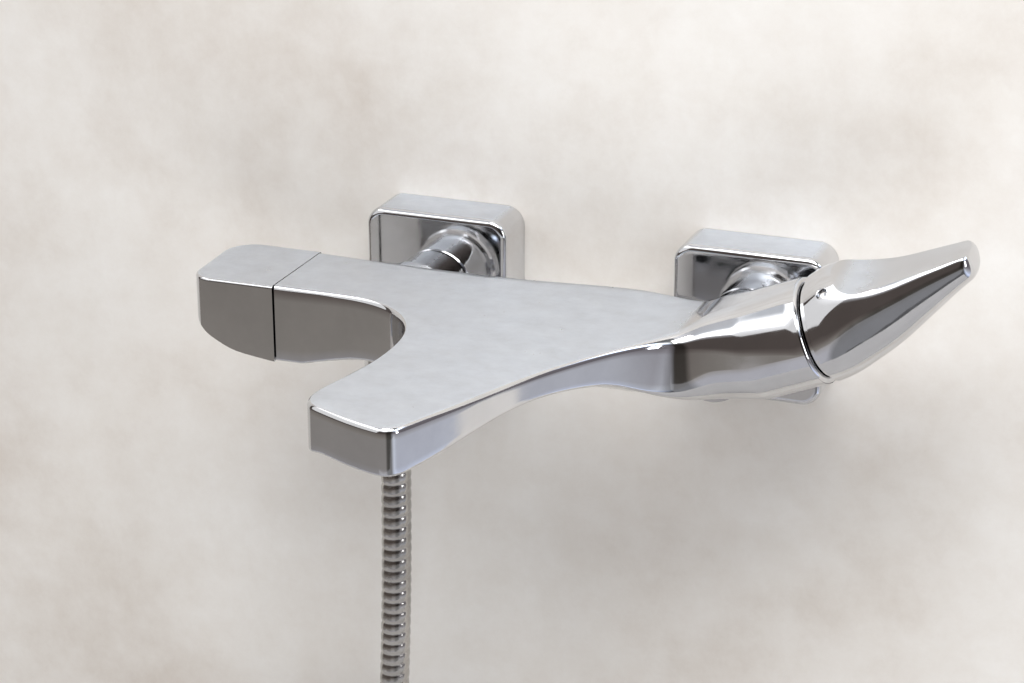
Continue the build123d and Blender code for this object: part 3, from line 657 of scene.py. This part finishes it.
# ---------------------------------------------------------------- lever
LEVER_STATIONS = [3.0, 8.0, 14.0, 22.0, 34.0, 44.0, 54.0, 63.0, 72.0]
LEVER_HALF = [25.0, 24.9, 24.2, 22.7, 20.0, 17.6, 15.2, 13.0, 10.8]
LEVER_UP = [25.0, 24.8, 23.3, 19.5, 13.6, 10.6, 8.7, 7.5, 6.4]
LEVER_LOW = [20.5, 21.3, 21.9, 21.7, 19.4, 16.3, 13.0, 9.7, 7.0]
LEVER_CENTRE = [0.0, 1.5, 3.5, 6.0, 8.0, 9.5, 11.0, 12.0, 13.0]
LEVER_POWER = [2.0, 2.05, 2.15, 2.3, 2.5, 2.6, 2.7, 2.7, 2.7]
LEVER_KEEL = [2.0, 2.2, 2.5, 2.8, 3.0, 3.0, 3.0, 3.0, 2.8]
LEVER_TAPER = [0.0, 0.06, 0.14, 0.20, 0.24, 0.24, 0.22, 0.20, 0.18]
LEVER_TIP_R = 3.5
LEVER_START = 3.0           # the skirt's open end, along the barrel's axis
FLAT_N = 18.0               # height of the lever's flat above that axis
FLAT_ROLL = math.radians(6.5)
PIVOT_BACK = round((RING - Vector(in_mm(joints["lever_lift"]["pos_m"]))).length, 1)
CAVITY_R = 27.9             # hollow ball about the lift pivot that clears the barrel's rim
PLUG_TURN = math.radians(40.0)
PLUG_WAY = UP_DIR * math.cos(PLUG_TURN) + Vector((0, -math.sin(PLUG_TURN), 0))
PLUG_BASE = RING + AXIS_DIR * 12
PLUG_PROFILE = [(2.5, 19.5), (2.5, 25.0), (2.35, 25.35), (2.0, 25.55), (1.4, 25.7),
                (0.7, 25.78), (0.05, 25.8)]


def across_barrel(s, y, n):
    """A point given along the barrel's axis, towards the wall, and up across the axis."""
    return RING + AXIS_DIR * s + Vector((0, y, 0)) + UP_DIR * n


def lever_loop(sizes, s, inset=0.0, count=96):
    half, up, low, centre, upper_power, keel_power, taper = sizes
    loop = []
    for k in range(count):
        angle = 2 * math.pi * k / count
        c, d = math.cos(angle), math.sin(angle)
        reach, power = (up, upper_power) if d > 0 else (low, keel_power)
        rise = math.copysign(abs(d) ** (2 / power), d)
        wide = (half - inset) * (1 + taper * min(0.0, rise))
        y = wide * math.copysign(abs(c) ** (2 / power), c)
        loop.append(across_barrel(s, y, centre + (reach - inset) * rise))
    return loop


def flat_cutter():
    """What is cut off above the lever: a rolled, slightly hollow flat that sweeps up over the dome."""
    knots, sweep_at = c2_curve([(13.0, 34.0), (15.2, 27.6), (19.0, 22.2), (24.5, 19.2), (32.0, 18.1),
                                (44.0, FLAT_N), (60.0, FLAT_N), (84.0, FLAT_N)])
    loops = []
    for t in np.linspace(0, knots[-1], 70):
        (s, n), _ = sweep_at(float(t))
        hollow = 1.2 * ease(s, 18, 34)
        loop = []
        for k in range(25):
            y = -34 + 68 * k / 24
            dish = hollow * max(0.0, 1 - (y / 15) ** 2)
            loop.append((y, n - dish))
        loop += [(34.0, 60.0), (-34.0, 60.0)]
        c, d = math.cos(FLAT_ROLL), math.sin(FLAT_ROLL)
        loops.append([across_barrel(s, y * c - m * d, y * d + m * c) for y, m in loop])
    return solid("bar", loops, BY_SLOT["chrome"])


def skirt_cutter():
    """Part of a ball about the lift pivot, open towards the barrel."""
    loops = []
    for s in np.linspace(2.0, 15.2, 24):
        radius = math.sqrt(CAVITY_R ** 2 - (s + PIVOT_BACK) ** 2)
        dip = max(-2.0, -0.99 * radius)
        start = math.asin(dip / radius)
        loops.append([across_barrel(s, radius * math.cos(a), radius * math.sin(a))
                      for a in np.linspace(start, math.pi - start, 60)])
    return solid("bar", loops, BY_SLOT["chrome"])


def make_plug():
    """Small plain cap with a low dome, set in the lever's dome."""
    side = PLUG_WAY.orthogonal().normalized()
    across = PLUG_WAY.cross(side)
    loops = [ring_loop(PLUG_BASE + PLUG_WAY * h, side, across, r, 40) for r, h in PLUG_PROFILE]
    plug = solid("index_cap", loops, BY_SLOT[slot_of["index_plug"]])
    plug.data.shade_smooth()
    plug.data.set_sharp_from_angle(angle=math.radians(50))
    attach(plug, "lever")
    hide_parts("index_plug")


def make_lever():
    keys = (LEVER_HALF, LEVER_UP, LEVER_LOW, LEVER_CENTRE, LEVER_POWER, LEVER_KEEL, LEVER_TAPER)
    knots, sizes_at = c2_curve([(s / 4, *row) for s, *row in zip(LEVER_STATIONS, *keys)])

    def sizes(s):
        t = float(np.interp(s, LEVER_STATIONS, knots))
        return tuple(sizes_at(t)[0][1:])

    end = LEVER_STATIONS[-1]
    loops = [lever_loop(sizes(s), s) for s in np.linspace(LEVER_START, end - LEVER_TIP_R, 60)[:-1]]
    for k in range(0, 9):
        a = math.pi / 2 * k / 8
        s = end - LEVER_TIP_R * (1 - math.sin(a))
        loops.append(lever_loop(sizes(s), s, LEVER_TIP_R * (1 - math.cos(a))))
    lever = solid("lever_skin", loops, BY_SLOT["chrome"])
    join_or_cut(lever, "DIFFERENCE", [flat_cutter(), skirt_cutter(), round_bar(RING, AXIS_DIR, 15.5, 2, 12)])
    join_or_cut(lever, "UNION", [round_bar(RING, AXIS_DIR, 8.5, 9, 18)])
    join_or_cut(lever, "DIFFERENCE", [round_bar(RING, AXIS_DIR, 5.2, 7.9, 20.1, 4),
                                      round_bar(PLUG_BASE, PLUG_WAY, 2.52, 2, 30)], sharp=24.0)
    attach(lever, "lever")
    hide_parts("lever_handle")


make_lever()
make_plug()


# ---------------------------------------------------------------- stage
def plane_mesh(name, corners, material):
    mesh = bpy.data.meshes.new(name)
    mesh.from_pydata(corners, [], [(0, 1, 2, 3)])
    mesh.materials.append(material)
    obj = link(bpy.data.objects.new(name, mesh))
    return obj


def plaster():
    """Pale plaster seen from the front only, so that the wall hides nothing from behind."""
    s = Shader("pale_plaster", Roughness=0.75)
    cloud = s.ramp(s.noise(4.5, 9.0, 0.68), [(0.34, (0.60, 0.545, 0.49)), (0.5, (0.755, 0.725, 0.685)),
                                             (0.64, (0.84, 0.83, 0.805))])
    speckle = s.ramp(s.noise(46.0, 8.0, 0.7), [(0.3, (0.70, 0.665, 0.62)), (0.62, (0.80, 0.785, 0.76))])
    grain = s.spread(s.noise(9.0, 6.0, 0.6), 0.15, 0.5)
    s.feed("Base Color", s.mix(grain, cloud, speckle))
    s.bump(s.noise(60.0, 6.0, 0.6), 0.0004, 0.5)
    geometry = s.tree.nodes.new("ShaderNodeNewGeometry")
    clear = s.tree.nodes.new("ShaderNodeBsdfTransparent")
    mix = s.tree.nodes.new("ShaderNodeMixShader")
    out = s.tree.nodes["Material Output"]
    s.tree.links.new(geometry.outputs["Backfacing"], mix.inputs["Fac"])
    s.tree.links.new(s.shader.outputs["BSDF"], mix.inputs[1])
    s.tree.links.new(clear.outputs["BSDF"], mix.inputs[2])
    s.tree.links.new(mix.outputs["Shader"], out.inputs["Surface"])
    return s.material


def floor_paint():
    s = Shader("pale_floor", Roughness=0.7)
    s.feed("Base Color", s.ramp(s.noise(2.0, 5.0), [(0.3, (0.40, 0.39, 0.385)), (0.7, (0.46, 0.45, 0.445))]))
    return s.material


WALL_Y = 0.0002
WALL_LEFT, WALL_RIGHT, WALL_TOP = -1.6, 0.46, 1.5
FLOOR_HALF, FLOOR_FRONT, FLOOR_BACK = 0.6, -0.45, 0.3
FLOOR_Z = cad_bounds[0][2] - 0.012
plane_mesh("backdrop_wall", [(WALL_LEFT, WALL_Y, FLOOR_Z), (WALL_RIGHT, WALL_Y, FLOOR_Z),
                             (WALL_RIGHT, WALL_Y, WALL_TOP), (WALL_LEFT, WALL_Y, WALL_TOP)], plaster())
plane_mesh("floor", [(-FLOOR_HALF, FLOOR_FRONT, FLOOR_Z), (FLOOR_HALF, FLOOR_FRONT, FLOOR_Z),
                     (FLOOR_HALF, FLOOR_BACK, FLOOR_Z), (-FLOOR_HALF, FLOOR_BACK, FLOOR_Z)], floor_paint())


# ---------------------------------------------------------------- light
def softbox(name, place, target, size, power, colour):
    data = bpy.data.lights.new(name, "AREA")
    data.shape = "RECTANGLE"
    data.size, data.size_y = size
    data.energy = power
    data.color = colour
    obj = link(bpy.data.objects.new(name, data))
    obj.location = place
    aim = Vector(target) - Vector(place)
    obj.rotation_euler = aim.to_track_quat("-Z", "Y").to_euler()
    return obj


softbox("key_high", (0.25, -0.75, 1.2), (0.12, 0.0, 0.25), (1.1, 0.6), 15.5, (1.0, 0.99, 0.97))
low_fill = softbox("fill_low", (0.9, -1.4, -0.6), (0.25, 0.0, -0.2), (1.2, 0.8), 9.0, (1.0, 0.98, 0.96))
low_fill.visible_glossy = False
softbox("low_card", (0.2, -0.63, -0.475), (0.2, 0.0, -0.475), (0.8, 0.55), 0.23, (0.93, 0.94, 1.0))
softbox("fill_left", (-1.4, -1.0, 1.0), (0.0, 0.0, 0.0), (2.0, 1.5), 8.0, (0.98, 0.99, 1.0))
softbox("fill_right", (1.5, -0.7, 0.35), (0.1, 0.0, -0.1), (0.3, 0.9), 5.0, (0.97, 0.985, 1.0))


def make_world():
    """A plain room: pale above, a dark band at eye height, taupe below."""
    world = bpy.data.worlds.new("studio")
    scene.world = world
    world.use_nodes = True
    tree = world.node_tree
    coords = tree.nodes.new("ShaderNodeTexCoord")
    split = tree.nodes.new("ShaderNodeSeparateXYZ")
    tree.links.new(coords.outputs["Generated"], split.inputs["Vector"])
    span = tree.nodes.new("ShaderNodeMapRange")
    span.inputs["From Min"].default_value = -1.0
    span.inputs["From Max"].default_value = 1.0
    tree.links.new(split.outputs["Z"], span.inputs["Value"])
    height = colour_ramp(tree, span.outputs["Result"], [
        (0.0, (0.36, 0.36, 0.39)),
        (0.22, (0.34, 0.335, 0.36)),
        (0.32, (0.24, 0.22, 0.20)),
        (0.39, (0.13, 0.11, 0.10)),
        (0.45, (0.085, 0.07, 0.064)),
        (0.75, (0.085, 0.07, 0.064)),
        (0.80, (0.35, 0.34, 0.35)),
        (0.83, (1.9, 1.9, 1.9)),
        (0.89, (1.9, 1.9, 1.92)),
        (0.91, (0.60, 0.62, 0.66)),
        (0.95, (0.55, 0.55, 0.57)),
        (1.0, (0.9, 0.9, 0.92)),
    ])
    across = tree.nodes.new("ShaderNodeMapRange")
    across.inputs["From Min"].default_value = -1.0
    across.inputs["From Max"].default_value = 1.0
    tree.links.new(split.outputs["X"], across.inputs["Value"])
    doorway = colour_ramp(tree, across.outputs["Result"], [
        (0.0, (1.0, 1.0, 1.0)),
        (0.58, (1.0, 1.0, 1.0)),
        (0.66, (0.30, 0.30, 0.29)),
        (0.80, (0.30, 0.30, 0.29)),
        (0.89, (2.3, 2.6, 3.1)),
        (0.93, (1.9, 2.1, 2.5)),
        (1.0, (1.8, 2.0, 2.4)),
    ])
    mix = tree.nodes.new("ShaderNodeMix")
    mix.data_type = "RGBA"
    mix.blend_type = "MULTIPLY"
    mix.inputs[0].default_value = 1.0
    tree.links.new(height, mix.inputs[6])
    tree.links.new(doorway, mix.inputs[7])
    tree.links.new(mix.outputs[2], tree.nodes["Background"].inputs["Color"])
    tree.nodes["Background"].inputs["Strength"].default_value = 1.18


make_world()
scene.view_settings.view_transform = "Standard"
